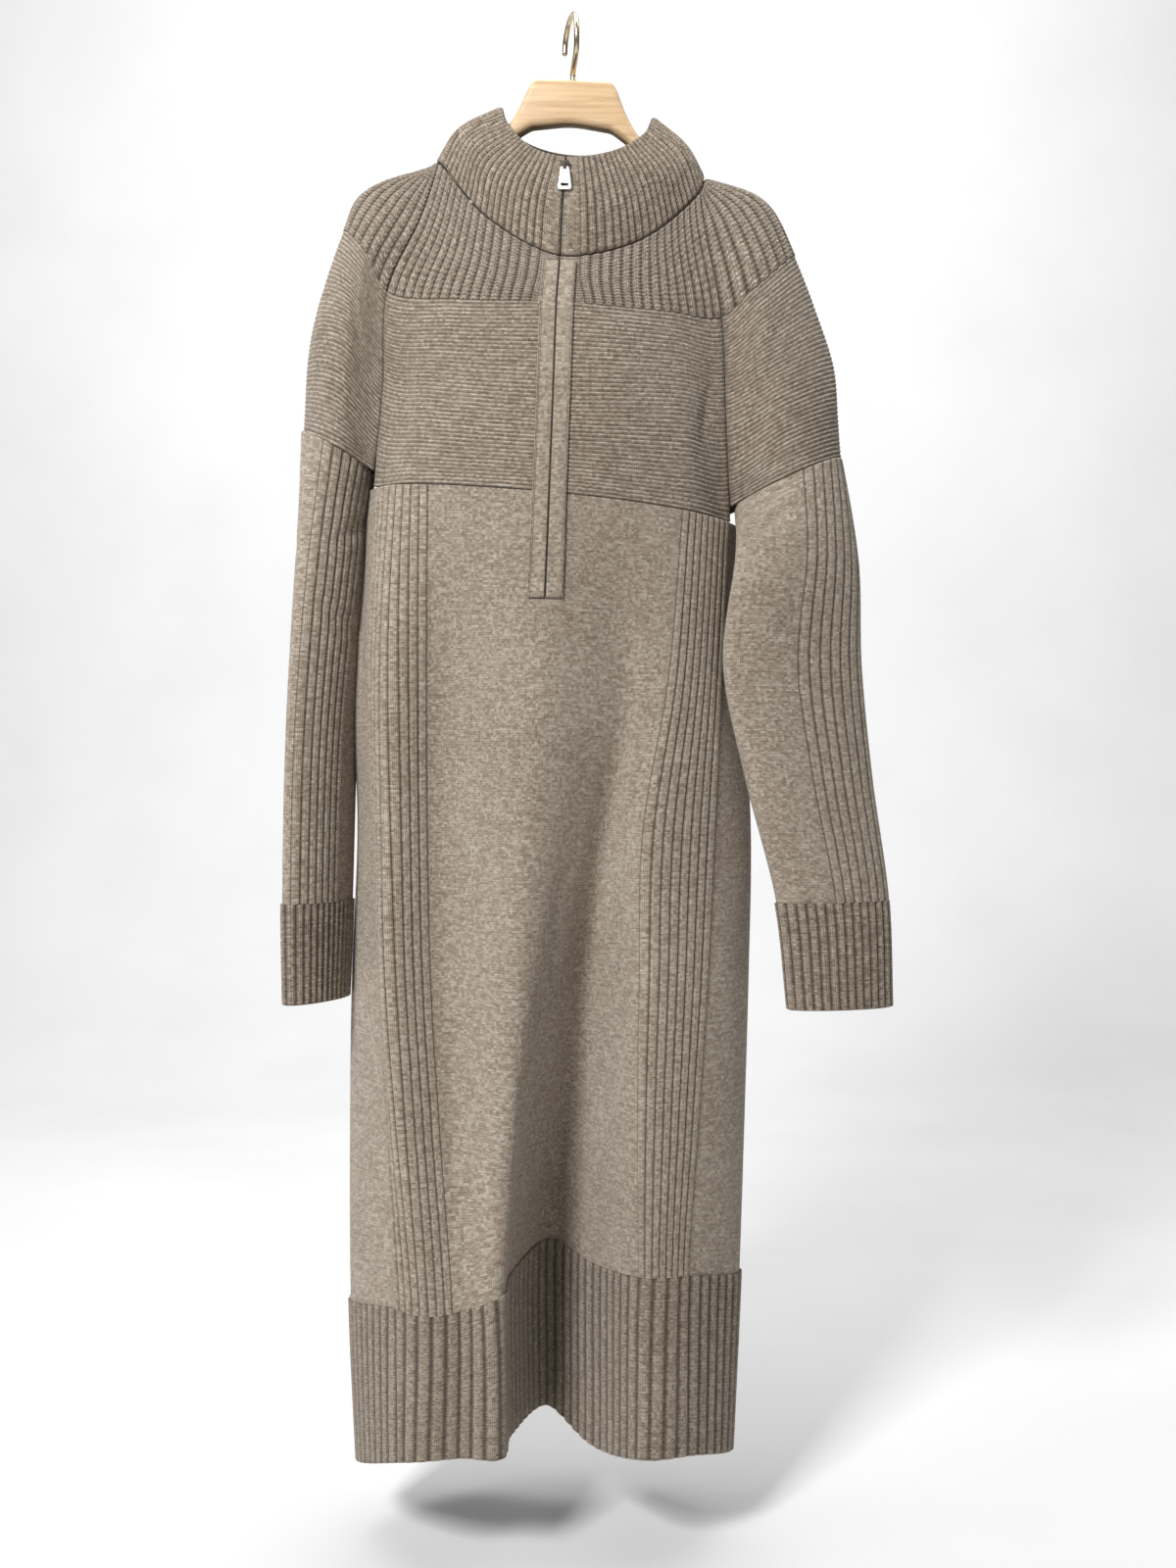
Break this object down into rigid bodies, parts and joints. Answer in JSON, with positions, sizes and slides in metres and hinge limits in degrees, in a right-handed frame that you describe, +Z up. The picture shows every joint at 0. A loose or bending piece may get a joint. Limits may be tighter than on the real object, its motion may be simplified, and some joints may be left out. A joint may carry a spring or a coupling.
{
  "type": "sweater dress on a hanger",
  "caption": "Long knitted sweater dress with a ribbed zip collar, raglan sleeves and rib hem, hanging on a wooden hanger.",
  "frame": {"origin": "inside of the hanger hook's crown, where a rail bears", "axes": "+Z up, the dress's front faces -Y, +X to the viewer's right"},
  "size_m": [0.5527, 0.2179, 1.3386],
  "materials": {
    "knit": "soft heathered oatmeal wool, matt with a fine fuzz",
    "rib_knit": "heathered oatmeal wool rib, matt with a fine fuzz",
    "hanger_wood": "light, satin lacquer, plain with no lettering",
    "hook_metal": "polished champagne gold",
    "tab_metal": "brushed nickel, plain",
    "zip_metal": "dark gunmetal"
  },
  "bodies": {
    "root": {"collar": "rib_knit", "front_yoke_rib_left": "rib_knit", "front_yoke_rib_right": "rib_knit", "front_yoke_garter_left": "knit", "front_yoke_garter_right": "knit", "back_yoke_rib": "rib_knit", "back_yoke_garter": "knit", "cap_rib_left": "rib_knit", "cap_rib_right": "rib_knit", "cap_garter_left": "knit", "cap_garter_right": "knit", "front_skirt": "knit", "back_skirt": "knit", "front_hem": "rib_knit", "back_hem": "rib_knit", "sleeve_left": "knit", "sleeve_right": "knit", "cuff_left": "rib_knit", "cuff_right": "rib_knit", "placket_left": "knit", "placket_right": "knit", "zip_chain_front": "zip_metal", "zip_chain_collar": "zip_metal", "zip_slider": "zip_metal", "hanger_wood": "hanger_wood", "hanger_hook": "hook_metal"},
    "pull_tab": {"zip_pull_tab": "tab_metal"}
  },
  "joints": [
    {"name": "pull_tab_swing", "type": "hinge", "parent": "root", "child": "pull_tab", "pos_m": [-0.005, -0.07182, -0.16408], "axis": [-1, 0, 0], "range_deg": [0, 150]}
  ]
}
